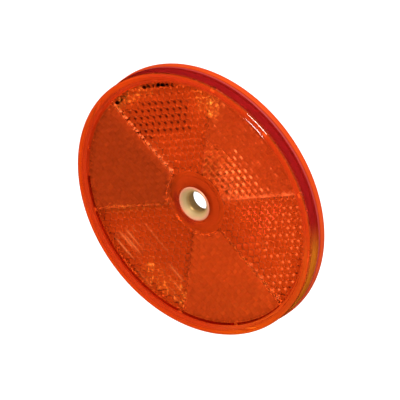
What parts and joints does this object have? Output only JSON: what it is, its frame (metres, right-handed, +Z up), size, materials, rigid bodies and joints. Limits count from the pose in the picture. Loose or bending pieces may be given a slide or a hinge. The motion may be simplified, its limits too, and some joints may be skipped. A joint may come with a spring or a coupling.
{
  "type": "round centre-mount reflector",
  "caption": "Round amber reflex reflector: a prismatic acrylic lens fused to a back cover, with a rolled metal eyelet lining a central screw hole.",
  "frame": {"origin": "on the axis of the central screw hole, in the plane of the back face", "axes": "+Z up as mounted on a vertical surface, -Y out of the lens along the hole's axis, +X to the right seen from the front"},
  "size_m": [0.0826, 0.0078, 0.0826],
  "materials": {
    "lens_acrylic": "glossy transparent amber acrylic with moulded prisms behind the face",
    "cover_acrylic": "satin amber moulding",
    "eyelet_metal": "satin rolled sheet with a warm yellow tint",
    "washer_metal": "satin stamped sheet",
    "gasket_rubber": "soft matt sheet",
    "rim_sealant": "cured sealing bead"
  },
  "bodies": {
    "root": {"front_lens": "lens_acrylic", "back_cover": "cover_acrylic", "eyelet": "eyelet_metal", "eyelet_washer": "washer_metal", "hub_gasket": "gasket_rubber", "rim_seal": "rim_sealant"}
  },
  "joints": []
}
